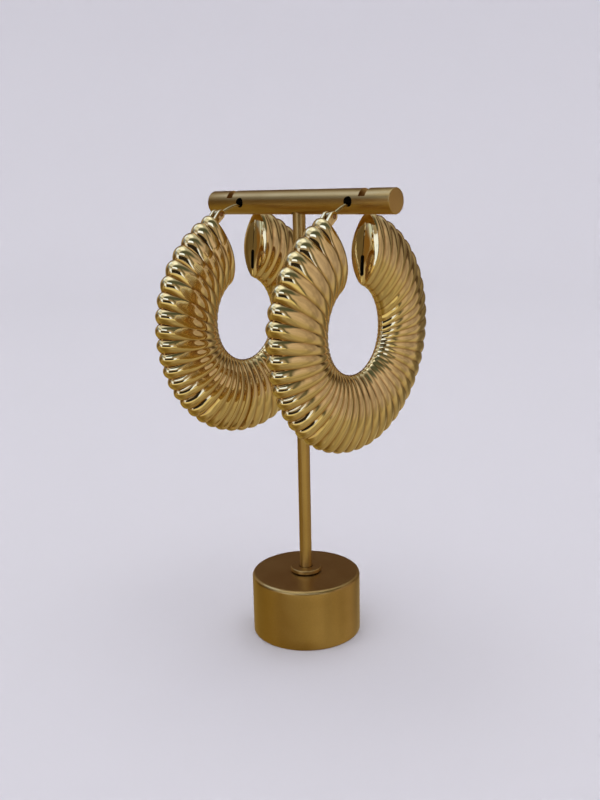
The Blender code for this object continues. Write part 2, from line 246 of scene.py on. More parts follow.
def satin_gold_plate():
    """Satin champagne gold: fine blasted grain under the plate, a faintly cloudy tone, dull smudges."""
    made, tree, shader, place = metal("satin_gold_plate")
    link = tree.links.new
    surface = node(tree, "ShaderNodeGroup", node_tree=grain)
    link(place, surface.inputs["Vector"])
    worn = node(tree, "ShaderNodeGroup", node_tree=marks)
    link(place, worn.inputs["Vector"])
    worn.inputs["Smudge Size"].default_value = 160.0
    tone = node(tree, "ShaderNodeTexNoise", inputs={"Scale": 90.0, "Detail": 2.0})
    link(place, tone.inputs["Vector"])
    colour = colour_ramp(tree, (0.56, 0.37, 0.15), (0.63, 0.43, 0.185), 0.35, 0.7)
    link(tone.outputs["Fac"], colour.inputs["Fac"])
    dim = colour_ramp(tree, (0.86, 0.85, 0.83), (1.0, 1.0, 1.0))
    link(surface.outputs["Speckle"], dim.inputs["Fac"])
    speckled = node(tree, "ShaderNodeMix", data_type="RGBA", blend_type="MULTIPLY")
    speckled.inputs["Factor"].default_value = 1.0
    link(colour.outputs["Color"], speckled.inputs["A"])
    link(dim.outputs["Color"], speckled.inputs["B"])
    link(speckled.outputs["Result"], shader.inputs["Base Color"])
    dull = node(tree, "ShaderNodeMapRange", inputs={"To Min": 0.29, "To Max": 0.33})
    link(worn.outputs["Smudges"], dull.inputs["Value"])
    link(dull.outputs["Result"], shader.inputs["Roughness"])
    bump = node(tree, "ShaderNodeBump", inputs={"Strength": 0.35, "Distance": 0.00002})
    link(surface.outputs["Height"], bump.inputs["Height"])
    link(bump.outputs["Normal"], shader.inputs["Normal"])
    return made


satin_gold = satin_gold_plate()
base.data.materials.append(satin_gold)
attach(base, "stand")
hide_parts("base")


# Collar: a flat turned washer, slid down the post to cover the socket's mouth.
# It is plated with the base, and its upper edge is broken so that it doesn't catch a sleeve.
COLLAR_RADIUS = 4.2 * MM
COLLAR_FLOOR = 17.1 * MM
COLLAR_HEIGHT = 1.0 * MM
COLLAR_EDGE = 0.25 * MM

collar_top = COLLAR_FLOOR + COLLAR_HEIGHT
collar_profile = [
    (SOCKET_RADIUS, COLLAR_FLOOR),
    (COLLAR_RADIUS, COLLAR_FLOOR),
    *rounded((COLLAR_RADIUS - COLLAR_EDGE, collar_top - COLLAR_EDGE), COLLAR_EDGE, 0, 90),
    (SOCKET_RADIUS, collar_top),
]
collar = mesh_of("collar_washer", lathed(collar_profile, sides=96), round_rows=True)
collar.data.materials.append(satin_gold)
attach(collar, "stand")
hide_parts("collar")


# Post: drawn steel rod, plated, pushed into the base below and into the cross bar above.
# Both of its ends are out of sight in their sockets.
POST_RADIUS = 1.65 * MM

post_low, post_high = (corner.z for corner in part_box("post"))
post_profile = [(0.0, post_low), (POST_RADIUS, post_low), (POST_RADIUS, post_high), (0.0, post_high)]
post = mesh_of("post_rod", lathed(post_profile, sides=64))
post.data.materials.append(satin_gold)
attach(post, "stand")
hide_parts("post")


# Cross bar: a satin gold rod, faced at both ends, with a blind socket below for the post,
# two holes drilled through from front to back for the ear wires, and two grooves milled on top.
BAR_LENGTH = 60.0 * MM
BAR_RADIUS = 3.1 * MM
BAR_HEIGHT = 116.3 * MM
BAR_END_EDGE = 0.25 * MM
BAR_SOCKET_DEPTH = 3.0 * MM
SOCKET_DRILL_LENGTH = 8.0 * MM
HOLE_AT = 18.0 * MM
HOLE_RADIUS = 1.25 * MM
GROOVE_AT = 21.9 * MM
GROOVE_WIDTH = 2.0 * MM
GROOVE_DEPTH = 1.9 * MM
BAR_CRISP_ANGLE = math.radians(28.0)


def cut(piece, tool, finish):
    """Cut a tool out of a piece for good, leaving the cut's own finish on the new faces."""
    tool.data.materials.append(finish)
    step = piece.modifiers.new("cut", "BOOLEAN")
    step.operation = "DIFFERENCE"
    step.solver = "EXACT"
    step.material_mode = "TRANSFER"
    step.object = tool
    seen = piece.evaluated_get(bpy.context.evaluated_depsgraph_get())
    cut_mesh = bpy.data.meshes.new_from_object(seen)
    piece.modifiers.clear()
    piece.data = cut_mesh
    bpy.data.objects.remove(tool)


def milling_cutter(middle):
    """A straight-sided cutter along Y as a grid of two rings of corners, with a pole at either end.

    Each corner is half the groove's width aside and the groove's depth up or down from the
    middle, so that the lower half of the cutter is what goes into the bar.
    """
    corners = np.array([(-1, -1), (1, -1), (1, 1), (-1, 1)]) * (GROOVE_WIDTH / 2, GROOVE_DEPTH)
    ends = np.array([-4 * BAR_RADIUS, 4 * BAR_RADIUS])
    grid = np.zeros((4, 4, 3))
    grid[1:3, :, 0] = corners[:, 0]
    grid[1:3, :, 1] = ends[:, None]
    grid[1:3, :, 2] = corners[:, 1]
    grid[0, :, 1], grid[3, :, 1] = ends
    return grid + np.array(middle)


def recess_shade_metal(name, metallic, scale, dark, light, roughness):
    """Near-black dull metal in two dark tones: painted shade for bores and hollows."""
    made, tree, shader, place = metal(name, metallic)
    shade_mottle = node(tree, "ShaderNodeTexNoise", inputs={"Scale": scale, "Detail": 3.0})
    tree.links.new(place, shade_mottle.inputs["Vector"])
    colour = colour_ramp(tree, dark, light)
    tree.links.new(shade_mottle.outputs["Fac"], colour.inputs["Fac"])
    tree.links.new(colour.outputs["Color"], shader.inputs["Base Color"])
    shader.inputs["Roughness"].default_value = roughness
    return made


# Painted shade: the walls of the drilled bores are near black, standing in for the shade inside the
# holes.
bore_painted_shade = recess_shade_metal("bore_painted_dark", 0.5, 1500.0, (0.010, 0.006, 0.003), (0.035, 0.022, 0.012),
                            roughness=0.6)
bar_end = BAR_LENGTH / 2
bar_profile = [
    (0.0, -bar_end),
    *rounded((BAR_RADIUS - BAR_END_EDGE, -bar_end + BAR_END_EDGE), BAR_END_EDGE, -90, 0, 5),
    *rounded((BAR_RADIUS - BAR_END_EDGE, bar_end - BAR_END_EDGE), BAR_END_EDGE, 0, 90, 5),
    (0.0, bar_end),
]
bar = mesh_of("cross_bar_rod", lathed(bar_profile, 120, "X", (0.0, 0.0, BAR_HEIGHT)))
bar.data.materials.append(satin_gold)
socket_top = BAR_HEIGHT - BAR_RADIUS + BAR_SOCKET_DEPTH
drill_low = socket_top - SOCKET_DRILL_LENGTH
socket_profile = [(0.0, drill_low), (SOCKET_RADIUS, drill_low),
                  (SOCKET_RADIUS, socket_top), (0.0, socket_top)]
cut(bar, mesh_of("socket_drill", lathed(socket_profile, sides=48)), bore_painted_shade)
drill_profile = [(0.0, -2 * BAR_RADIUS), (HOLE_RADIUS, -2 * BAR_RADIUS),
                 (HOLE_RADIUS, 2 * BAR_RADIUS), (0.0, 2 * BAR_RADIUS)]
for side in (-1, 1):
    drill = lathed(drill_profile, 48, "Y", (side * HOLE_AT, 0.0, BAR_HEIGHT))
    cut(bar, mesh_of("drill", drill), bore_painted_shade)
    mill = milling_cutter([side * GROOVE_AT, 0.0, BAR_HEIGHT + BAR_RADIUS])
    cut(bar, mesh_of("mill", mill), satin_gold)
bar.data.shade_smooth()
bar.data.set_sharp_from_angle(angle=BAR_CRISP_ANGLE)
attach(bar, "stand")
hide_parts("cross_bar")


# Hoops: puffed brass, pressed thin and hollow, ribbed right round and polished before plating.
# Each is a C of almond section whose two ends are closed by domed caps; the back cap has the
# catch slot for the wire's end.
HOOP_OUTER_RADIUS = 31.2 * MM
HOOP_INNER_RADIUS = 11.1 * MM
HOOP_THICKNESS = 9.4 * MM
HOOP_LEAN = math.radians(7.0)
FRONT_END_ANGLE = math.radians(12.0)
BACK_END_ANGLE = math.radians(14.5)
FAN_POINT_DROP = 8.0 * MM
ALMOND_POINT = 0.3
SECTION_POINTS = 84
FRONT_OUTER_TAPER = 0.8 * MM
BACK_OUTER_TAPER = 1.3 * MM
INNER_END_TAPER = 0.3 * MM
END_TAPER_ANGLE = math.radians(32.0)
END_THINNING = 0.1 * MM
END_THINNING_ANGLE = math.radians(9.0)
RIB_COUNT = 44
RIB_DEPTH = 0.95 * MM
RINGS_PER_RIB = 20
END_RIB_SQUEEZE = 0.45
END_RIB_REACH = 1.35
FRONT_FLANK_RELIEF = 0.33
FLANK_RELIEF = 0.6
INNER_RELIEF = 0.35
FRONT_FLANK_FULLNESS = 0.7
FLANK_FULLNESS = 1.2
FLAT_UNTIL = math.radians(50.0)
FLUTED_FROM = math.radians(150.0)
BEAD_FULLNESS = 0.8
BEAD_STARTS = 0.45
INNER_STARTS = 0.5
BACK_RELIEF = 0.5
SHALLOWER_FROM = math.radians(110.0)
SHALLOWEST_FROM = math.radians(175.0)
CREASE_WIDTH = 0.18
CAP_EDGE = 0.15 * MM
CAP_CROWN = 0.7 * MM
CAP_SEAM = 0.12 * MM
SEAM_TURN = 0.01
SEAM_FADES_IN = 0.25
CAP_WALL = 0.8 * MM
SLOT_WIDTH = 0.9 * MM
SLOT_LENGTH = 4.9 * MM
SLOT_MOUTH_FLARE = 0.2 * MM
SLOT_ABOVE_TIP = 2.3 * MM
HOLLOW_STEPS = ((0.5, 1.6 * MM), (0.72, 2.4 * MM), (0.72, 5.0 * MM), (0.0, 5.0 * MM))
HOOP_CRISP_DEGREES = 32.0
HINGE_REACH = 2.3 * MM
HINGE_RISE = -0.16 * MM


def fan_line(angle):
    """The cut of a hoop at an angle from its opening, as where it starts and which way it points.

    The start lies below the hoop's centre by the fan drop times the half angle's cosine squared.
    """
    down = -FAN_POINT_DROP * np.cos(angle / 2) ** 2
    return np.stack([0.0 * down, down], -1), np.stack([-np.sin(angle), np.cos(angle)], -1)


def fan_reach(angle, radius):
    """How far along its cut a circle about the hoop's centre lies: the far root of the cosine rule."""
    drop = FAN_POINT_DROP * np.cos(angle / 2) ** 2
    return drop * np.cos(angle) + np.sqrt(radius ** 2 - (drop * np.sin(angle)) ** 2)


def rib_place(rib):
    """How far round a point on a rib lies, in full ribs: those at both ends are narrower.

    From each end the count loses the squeeze times its reach, as one minus an exponential.
    """
    lost = END_RIB_SQUEEZE * END_RIB_REACH
    from_back = np.exp((rib - RIB_COUNT) / END_RIB_REACH) - np.exp(-RIB_COUNT / END_RIB_REACH)
    return rib - lost * (1 - np.exp(-rib / END_RIB_REACH)) - lost * from_back


def smooth(share):
    """A share held between nought and one and eased at both ends, 3 s squared less 2 s cubed."""
    held = np.clip(share, 0.0, 1.0)
    return held ** 2 * (3 - 2 * held)


def bead_share(turn):
    """One on the bead round the outer rim, nought on the flanks and the inner rim, smooth between."""
    return smooth((np.cos(turn) - BEAD_STARTS) / (1 - BEAD_STARTS))


def inner_share(turn):
    """One on the inner rim, nought on the flanks and the bead, smooth between."""
    return smooth((-np.cos(turn) - INNER_STARTS) / (1 - INNER_STARTS))


def between(angle, front, back):
    """A value of the flanks, which passes smoothly from the front arm's to the back's."""
    return front + (back - front) * smooth((angle - FLAT_UNTIL) / (FLUTED_FROM - FLAT_UNTIL))


def section(angle, turn, relief=0.0):
    """The almond cut as (across, along its line), for arrays of angles and of turns about the cut.

    Across is half the thickness times sin(turn)(1 - point cos^2(turn)), along is the middle plus
    half the cut's height times cos(turn). Near the ends both rims draw in by a bell curve, and the
    thickness by a narrower one. The relief lifts the outline square to itself, in proportion to
    how far out it lies, in full on the bead round the outer rim and by less on the flanks and the
    inner rim, with smooth steps between. Round the back of the hoop all of it is shallower.
    """
    at_front = angle < np.pi
    from_end = np.where(at_front, angle - FRONT_END_ANGLE, 2 * np.pi - BACK_END_ANGLE - angle)
    taper = np.exp(-(from_end / END_TAPER_ANGLE) ** 2)
    outer_taper = np.where(at_front, FRONT_OUTER_TAPER, BACK_OUTER_TAPER) * taper
    outer = fan_reach(angle, HOOP_OUTER_RADIUS - RIB_DEPTH - outer_taper)
    inner = fan_reach(angle, HOOP_INNER_RADIUS + INNER_END_TAPER * taper)
    middle, half = (outer + inner) / 2, (outer - inner) / 2
    thinned = END_THINNING * np.exp(-(from_end / END_THINNING_ANGLE) ** 2)
    flank = between(angle, FRONT_FLANK_RELIEF, FLANK_RELIEF)
    thick = HOOP_THICKNESS / 2 - flank * RIB_DEPTH * middle / outer - thinned
    across = thick * np.sin(turn) * (1 - ALMOND_POINT * np.cos(turn) ** 2)
    along = middle + half * np.cos(turn)
    slope = np.stack([np.sin(turn) / thick, np.cos(turn) / half], -1)
    slope /= np.linalg.norm(slope, axis=-1, keepdims=True)
    share = flank + (1 - flank) * bead_share(turn) + (INNER_RELIEF - flank) * inner_share(turn)
    round_back = smooth((angle - SHALLOWER_FROM) / (SHALLOWEST_FROM - SHALLOWER_FROM))
    raised = relief * share * (1 - (1 - BACK_RELIEF) * round_back) * RIB_DEPTH * along / outer
    return across + slope[..., 0] * raised, along + slope[..., 1] * raised


def in_hoop(angle, across, along, out=0.0):
    """Hoop-frame points (across, back, up) of a cut's own coordinates, moved out of the cut's plane."""
    start, way = fan_line(angle)
    square = np.stack([way[..., 1], -way[..., 0]], -1)
    flat = start + way * np.asarray(along)[..., None] + square * np.asarray(out)[..., None]
    return np.concatenate([np.asarray(across)[..., None] + 0.0 * flat[..., :1], flat], -1)


front_end = np.array(FRONT_END_ANGLE)
start, way = fan_line(front_end)
outwards = np.array([way[1], -way[0]])
tip = start + way * fan_reach(front_end, HOOP_OUTER_RADIUS - RIB_DEPTH - FRONT_OUTER_TAPER)
hinge_at = tip + way * HINGE_RISE + outwards * HINGE_REACH


def hung(points, word):
    """Hoop-frame points leant back and hung with the hinge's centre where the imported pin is."""
    low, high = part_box(f"hinge_pin_{word}")
    pin_at = (np.array(low) + np.array(high)) / 2
    across, back, up = np.moveaxis(points - np.array([0.0, *hinge_at]), -1, 0)
    leant_back = back * math.cos(HOOP_LEAN) - up * math.sin(HOOP_LEAN)
    leant_up = back * math.sin(HOOP_LEAN) + up * math.cos(HOOP_LEAN)
    return np.stack([across, leant_back, leant_up], -1) + pin_at


def almond_share(angle, across, along):
    """How far from the middle of an almond cut a point lies, 0 to 1.

    With the point's place as thick and tall, in shares of the cut's two half sizes, the share s
    solves s^2 = (thick / (1 - point (tall / s)^2))^2 + tall^2. It is put back in four times, which
    comes near enough.
    """
    rim_across, rim_along = section(angle, np.array([np.pi / 2, 0.0, np.pi]))
    middle, half = (rim_along[1] + rim_along[2]) / 2, (rim_along[1] - rim_along[2]) / 2
    thick, tall = across / rim_across[0], (along - middle) / half
    share = np.hypot(thick, tall)
    for _ in range(4):
        point = 1 - ALMOND_POINT * (tall / np.maximum(share, 1e-6)) ** 2
        share = np.hypot(thick / point, tall)
    return np.minimum(share, 1.0)


def cap_rows(angle, turn, outward, inner_across, inner_along, rows=14):
    """Rows of points over an end cap, from its edge in to an inner outline.

    The edge is a quarter round. Inside it the rows are blends of the edge and the inner outline,
    and the face is domed: it rises by the crown times one minus the almond share cubed. The
    seam where the hoop's two halves meet is a shallow groove down the middle, which sinks in over
    the outer part of the face.
    """
    across, along = section(angle, turn)
    middle = (along.max() + along.min()) / 2
    pulled = 1 - CAP_EDGE / np.hypot(across, along - middle)
    grids = []
    for bend in np.radians([0, 30, 60, 90]):
        inset = 1 - (1 - math.cos(bend)) * (1 - pulled)
        sunk = CAP_EDGE * (1 - math.sin(bend))
        grids.append(in_hoop(angle, across * inset, middle + (along - middle) * inset, -outward * sunk))
    edge_across, edge_along = across * pulled, middle + (along - middle) * pulled
    edge_share = almond_share(angle, edge_across, edge_along)
    for blend in np.linspace(0.0, 1.0, rows)[1:]:
        now_across = edge_across + (inner_across - edge_across) * blend
        now_along = edge_along + (inner_along - edge_along) * blend
        share = almond_share(angle, now_across, now_along) / edge_share
        seam = CAP_SEAM * (np.abs(np.sin(turn)) < SEAM_TURN) * min(1.0, blend / SEAM_FADES_IN)
        risen = CAP_CROWN * np.maximum(1 - share ** 3, 0.0) - seam
        grids.append(in_hoop(angle, now_across, now_along, outward * risen))
    return np.stack(grids)


def slot_outline(turn, width, length, middle):
    """A slot with half-round ends, as (across, along).

    Along is half the length times cos(turn). Across is the root of the half width squared less
    the square of how far along lies past the ends' centres.
    """
    along = length / 2 * np.cos(turn)
    past = np.maximum(np.abs(along) - (length - width) / 2, 0.0)
    aside = np.sqrt(np.maximum((width / 2) ** 2 - past ** 2, 0.0))
    return np.sign(np.sin(turn)) * aside, middle + along


def hoop_skin(word):
    """One hoop as a single grid of points, and each row's share of a crease.

    The rows are the front cap, the ribs from the front end round the bottom to the back, the back
    cap, the slot's wall and the hollow behind it. Along the ribs the relief is the sine of half a
    turn for each rib, raised to a power. On the bead the power is below one, which makes the ribs
    full and their valleys sharp. On the flanks it rises from below one at the front to above one
    at the back, from flat ribs to flutes. A row's share of a crease is one in a valley and falls
    to nought over a part of a rib. It is nought on the caps and inside the hoop.
    """
    turn = np.linspace(0.0, 2 * np.pi, SECTION_POINTS, endpoint=False)
    first, last = np.array(FRONT_END_ANGLE), np.array(2 * math.pi - BACK_END_ANGLE)
    front_middle = section(first, np.array([0.0, np.pi]))[1].mean()
    front = cap_rows(first, turn, 1.0, 0.0 * turn, front_middle + 0.0 * turn)[::-1]

    step = np.arange(1, RIB_COUNT * RINGS_PER_RIB) / RINGS_PER_RIB
    angle = (first + (last - first) * rib_place(step) / rib_place(RIB_COUNT))[:, None]
    on_flank = between(angle, FRONT_FLANK_FULLNESS, FLANK_FULLNESS)
    fullness = on_flank + (BEAD_FULLNESS - on_flank) * bead_share(turn)
    relief = np.maximum(np.sin(np.pi * (step % 1.0)), 0.0)[:, None] ** fullness
    ribs = in_hoop(angle + 0.0 * turn, *section(angle, turn[None], relief))

    low_tip = section(last, np.array([np.pi]))[1][0]
    slot_middle = low_tip + SLOT_ABOVE_TIP + SLOT_LENGTH / 2
    mouth = slot_outline(turn, SLOT_WIDTH + SLOT_MOUTH_FLARE, SLOT_LENGTH + SLOT_MOUTH_FLARE,
                         slot_middle)
    back = cap_rows(last, turn, -1.0, *mouth)
    slot = slot_outline(turn, SLOT_WIDTH, SLOT_LENGTH, slot_middle)
    walls = [in_hoop(last, *slot, depth) for depth in (0.0, CAP_WALL)]
    wide, tall = section(last, turn)
    centre = (tall.max() + tall.min()) / 2
    for share, depth in HOLLOW_STEPS:
        walls.append(in_hoop(last, wide * share, centre + (tall - centre) * share, depth + 0.0 * turn))
    # Each row's crease share marks where the polished gold paints shade into the valleys.
    from_valley = np.minimum(step % 1.0, 1 - step % 1.0)
    creases = np.concatenate([np.zeros(len(front)), np.maximum(1 - from_valley / CREASE_WIDTH, 0.0),
                              np.zeros(len(back) + len(walls))])
    return hung(np.concatenate([front, ribs, back, np.stack(walls)]), word), creases


def polished_gold_plate():
    """Polished gold: a mirror that ripples a little where the thin pressed brass isn't quite true.

    The ripple is slow noise in the bump, smudges and hairlines dull it here and there, and the
    creases between the ribs are mixed towards brown: painted shade in the valleys.
    """
    made, tree, shader, place = metal("polished_gold_plate")
    link = tree.links.new
    worn = node(tree, "ShaderNodeGroup", node_tree=marks)
    link(place, worn.inputs["Vector"])
    tone = node(tree, "ShaderNodeTexNoise", inputs={"Scale": 120.0, "Detail": 2.0})
    link(place, tone.inputs["Vector"])
    colour = colour_ramp(tree, (0.86, 0.68, 0.37), (0.90, 0.73, 0.44), 0.35, 0.68)
    link(tone.outputs["Fac"], colour.inputs["Fac"])
    # Painted shade: the valleys between the ribs are mixed towards brown by their crease share.
    crease = node(tree, "ShaderNodeAttribute", attribute_name="crease")
    crease_painted_shade = node(tree, "ShaderNodeMix", data_type="RGBA")
    crease_painted_shade.inputs["B"].default_value = (0.58, 0.38, 0.18, 1.0)
    link(crease.outputs["Fac"], crease_painted_shade.inputs["Factor"])
    link(colour.outputs["Color"], crease_painted_shade.inputs["A"])
    link(crease_painted_shade.outputs["Result"], shader.inputs["Base Color"])
    dull = node(tree, "ShaderNodeMapRange", inputs={"To Min": 0.045, "To Max": 0.10})
    link(worn.outputs["Smudges"], dull.inputs["Value"])
    scratched = node(tree, "ShaderNodeMath", operation="MULTIPLY_ADD", inputs={1: 0.1})
    link(worn.outputs["Hairlines"], scratched.inputs[0])
    link(dull.outputs["Result"], scratched.inputs[2])
    link(scratched.outputs[0], shader.inputs["Roughness"])
    ripple = node(tree, "ShaderNodeTexNoise", inputs={"Scale": 420.0, "Detail": 1.5, "Roughness": 0.4})
    link(place, ripple.inputs["Vector"])
    bump = node(tree, "ShaderNodeBump", inputs={"Strength": 0.5, "Distance": 0.0001})
    link(ripple.outputs["Fac"], bump.inputs["Height"])
    link(bump.outputs["Normal"], shader.inputs["Normal"])
    return made


polished_gold = polished_gold_plate()
# Painted shade: the slot's walls and the hollow behind it are near black, standing in for the shade
# inside the hoop.
hollow_painted_shade = recess_shade_metal("slot_hollow_painted_dark", 0.6, 700.0, (0.008, 0.006, 0.003), (0.03, 0.02, 0.01),
                             roughness=0.7)
hidden_rows = 2 + len(HOLLOW_STEPS)
for word in ("left", "right"):
    skin, creases = hoop_skin(word)
    hoop = mesh_of(f"hoop_shell_{word}", skin, sharp=HOOP_CRISP_DEGREES, inner_rows=hidden_rows,
                   creases=creases)
    hoop.data.materials.append(polished_gold)
    hoop.data.materials.append(hollow_painted_shade)
    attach(hoop, f"{word}_hoop")
    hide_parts(f"hoop_{word}")


# Hinge lugs: two little ears cut from brass strip, drilled for the rivet and soldered side by
# side to the front arm's end, with room for the ear wire's eye between them.
LUG_RADIUS = 1.2 * MM
LUG_THICKNESS = 0.8 * MM
LUG_ROOT_DEPTH = 0.9 * MM
LUG_ROOT_INSET = 0.5 * MM
LUG_ROOT_WIDTH = 1.9 * MM
LUG_EDGE = 0.12 * MM
EYE_THICKNESS = 1.0 * MM
HINGE_CLEARANCE = 0.15 * MM
PIN_RADIUS = 0.45 * MM

upper_root = tip - way * LUG_ROOT_INSET - outwards * LUG_ROOT_DEPTH
lower_root = upper_root - way * LUG_ROOT_WIDTH


def lug_grid(low, high):
    """One lug between two distances across: its rows go from the bore over one face, the edge and back.

    The outline is a half circle about the pin joined by straight sides to the root, and each of
    its points is paired with the point of the bore that lies the same way from the pin.
    """
    reach = hinge_at - (upper_root + lower_root) / 2
    ahead = reach / np.linalg.norm(reach)
    aside = np.array([-ahead[1], ahead[0]])
    half = np.linspace(-math.pi / 2, math.pi / 2, 25)[:, None]
    nose = hinge_at + LUG_RADIUS * (np.cos(half) * ahead + np.sin(half) * aside)
    share = np.linspace(0.0, 1.0, 8)[1:, None]
    outline = np.concatenate([nose, nose[-1] + (upper_root - nose[-1]) * share,
                              upper_root + (lower_root - upper_root) * share,
                              (lower_root + (nose[0] - lower_root) * share)[:-1]])
    spoke = outline - hinge_at
    length = np.linalg.norm(spoke, axis=1, keepdims=True)
    bore = hinge_at + spoke / length * (PIN_RADIUS + HINGE_CLEARANCE)
    rows = [(bore, low)]
    for bend in np.radians([90, 60, 30, 0]):
        rows.append((outline - spoke / length * LUG_EDGE * (1 - math.cos(bend)),
                     low + LUG_EDGE * (1 - math.sin(bend))))
    rows += [(edge, low + high - across) for edge, across in rows[::-1]]
    return np.stack([np.concatenate([np.full((len(outline), 1), across), edge], 1)
                     for edge, across in rows])


lug_inside = EYE_THICKNESS / 2 + HINGE_CLEARANCE
for word in ("left", "right"):
    for hand, name in ((-1, "a"), (1, "b")):
        near, far = sorted((hand * lug_inside, hand * (lug_inside + LUG_THICKNESS)))
        lug = mesh_of(f"hinge_lug_{name}_{word}", hung(lug_grid(near, far), word), round_rows=True)
        lug.data.materials.append(polished_gold)
        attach(lug, f"{word}_hoop")


# Hinge pins: a short brass rivet through both lugs and the wire's eye, its two ends peened
# over into low domes.
PIN_PROUD = 0.1 * MM


def worn_brass(name, dark, light, smoothest, dullest):
    """Bare or thinly plated brass that handling has browned, in soft patches of two tones."""
    made, tree, shader, place = metal(name)
    patches = node(tree, "ShaderNodeTexNoise", inputs={"Scale": 900.0, "Detail": 2.0})
    tree.links.new(place, patches.inputs["Vector"])
    colour = colour_ramp(tree, dark, light, 0.35, 0.65)
    tree.links.new(patches.outputs["Fac"], colour.inputs["Fac"])
    tree.links.new(colour.outputs["Color"], shader.inputs["Base Color"])
    dull = node(tree, "ShaderNodeMapRange", inputs={"To Min": smoothest, "To Max": dullest})
    tree.links.new(patches.outputs["Fac"], dull.inputs["Value"])
    tree.links.new(dull.outputs["Result"], shader.inputs["Roughness"])
    return made


rivet_brass = worn_brass("rivet_brass", (0.42, 0.20, 0.10), (0.60, 0.33, 0.18), 0.25, 0.4)
pin_end = lug_inside + LUG_THICKNESS + PIN_PROUD
dome = [(PIN_RADIUS * math.cos(a), pin_end - PIN_PROUD * (1 - math.sin(a)))
        for a in np.linspace(0, math.pi / 2, 8)]
pin_profile = [(radius, -height) for radius, height in dome[::-1]] + dome
for word in ("left", "right"):
    pin_at = hung(np.array([[0.0, *hinge_at]]), word)[0]
    pin = mesh_of(f"hinge_rivet_{word}", lathed(pin_profile, 40, "X", pin_at))
    pin.data.materials.append(rivet_brass)
    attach(pin, f"{word}_hoop")
    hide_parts(f"hinge_pin_{word}")


# Ear wires: hard round wire with a flat eye at the hinge. It rises from the hinge, levels off
# and lies along the floor of its hole in the bar, and its far end is rounded for the ear.
WIRE_RADIUS = 0.36 * MM
WIRE_BEND_REACH = 7.6 * MM
WIRE_REACH = 17.4 * MM
WIRE_STARTS = 0.55
WIRE_STRAIGHTNESS = 1.25
SEAT_GAP = 0.3 * MM
EYE_RADIUS = 1.05 * MM
EYE_EDGE = 0.2 * MM


def wire_grid(pin_at, sides=24):
    """A round wire along its route: each point of the route carries a ring square to it.

    It starts beside the pin, inside the eye's ring. The rise is a quarter sine wave raised to a
    power, then level. The last rings shrink as the cosine of their place on the rounded end. The
    first two points of the route are one, which closes the wire at the eye.
    """
    rise = BAR_HEIGHT - HOLE_RADIUS + SEAT_GAP + WIRE_RADIUS - pin_at[2]
    ring = (EYE_RADIUS + PIN_RADIUS + HINGE_CLEARANCE) / 2
    straight = WIRE_REACH - WIRE_RADIUS
    back = np.concatenate([np.linspace(ring * WIRE_STARTS, WIRE_BEND_REACH, 40),
                           np.linspace(WIRE_BEND_REACH, straight, 24)[1:]])
    share = np.minimum(back / WIRE_BEND_REACH, 1.0)
    height = rise * np.sin(np.pi / 2 * share) ** WIRE_STRAIGHTNESS
    bend = np.linspace(0.0, np.pi / 2, 7)[1:]
    radius = np.concatenate([[0.0], np.full(len(back), WIRE_RADIUS), WIRE_RADIUS * np.cos(bend)])
    back = np.concatenate([back[:1], back, straight + WIRE_RADIUS * np.sin(bend)])
    height = np.concatenate([height[:1], height, rise + 0.0 * bend])
    ahead = np.stack([np.gradient(back), np.gradient(height)], -1)
    ahead[0] = ahead[1]
    ahead /= np.linalg.norm(ahead, axis=1, keepdims=True)
    t = np.linspace(0.0, 2 * np.pi, sides, endpoint=False)
    lift = radius[:, None] * np.sin(t)
    return pin_at + np.stack([radius[:, None] * np.cos(t), back[:, None] - ahead[:, 1:] * lift,
                              height[:, None] + ahead[:, :1] * lift], -1)


wire_gold = worn_brass("wire_gold", (0.50, 0.40, 0.23), (0.66, 0.54, 0.33), 0.12, 0.22)
eye_bore = PIN_RADIUS + HINGE_CLEARANCE
eye_half = EYE_THICKNESS / 2
eye_profile = [
    (eye_bore, -eye_half),
    *rounded((EYE_RADIUS - EYE_EDGE, -eye_half + EYE_EDGE), EYE_EDGE, -90, 0),
    *rounded((EYE_RADIUS - EYE_EDGE, eye_half - EYE_EDGE), EYE_EDGE, 0, 90),
    (eye_bore, eye_half),
]
for word in ("left", "right"):
    pin_at = hung(np.array([[0.0, *hinge_at]]), word)[0]
    wire = mesh_of(f"ear_wire_round_{word}", wire_grid(pin_at))
    wire.data.materials.append(wire_gold)
    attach(wire, "stand")
    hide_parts(f"ear_wire_{word}")
    eye = mesh_of(f"ear_wire_eye_{word}", lathed(eye_profile, 48, "X", pin_at), round_rows=True)
    eye.data.materials.append(wire_gold)
    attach(eye, "stand")


# Floor: a pale matt sweep that curves up all round, so that every view has the same plain
# ground. It isn't part of the object.
SWEEP_FLAT = 0.9
SWEEP_CURVE = 0.9
SWEEP_TOP = 3.0

sweep_profile = [
    (0.0, 0.0),
    (SWEEP_FLAT / 3, 0.0),
    *rounded((SWEEP_FLAT, SWEEP_CURVE), SWEEP_CURVE, -90, 0, steps=24),
    (SWEEP_FLAT + SWEEP_CURVE, SWEEP_TOP),
]
sweep = mesh_of("pale_sweep", lathed(sweep_profile, sides=96))
sweep.data.flip_normals()
paper = bpy.data.materials.new("pale_paper")
paper.use_nodes = True
matt = paper.node_tree.nodes["Principled BSDF"]
matt.inputs["Base Color"].default_value = (0.62, 0.61, 0.65, 1.0)
matt.inputs["Roughness"].default_value = 0.9
sweep.data.materials.append(paper)
sweep.visible_glossy = False


# Light: a room seen only in the metal, bright above and brown below, with soft patches and a
# few bright and dark cards, and an even white light for everything matt.
world = bpy.data.worlds.new("studio")
bpy.context.scene.world = world
world.use_nodes = True
tree = world.node_tree
tree.nodes.clear()
link = tree.links.new
look = tree.nodes.new("ShaderNodeTexCoord").outputs["Generated"]


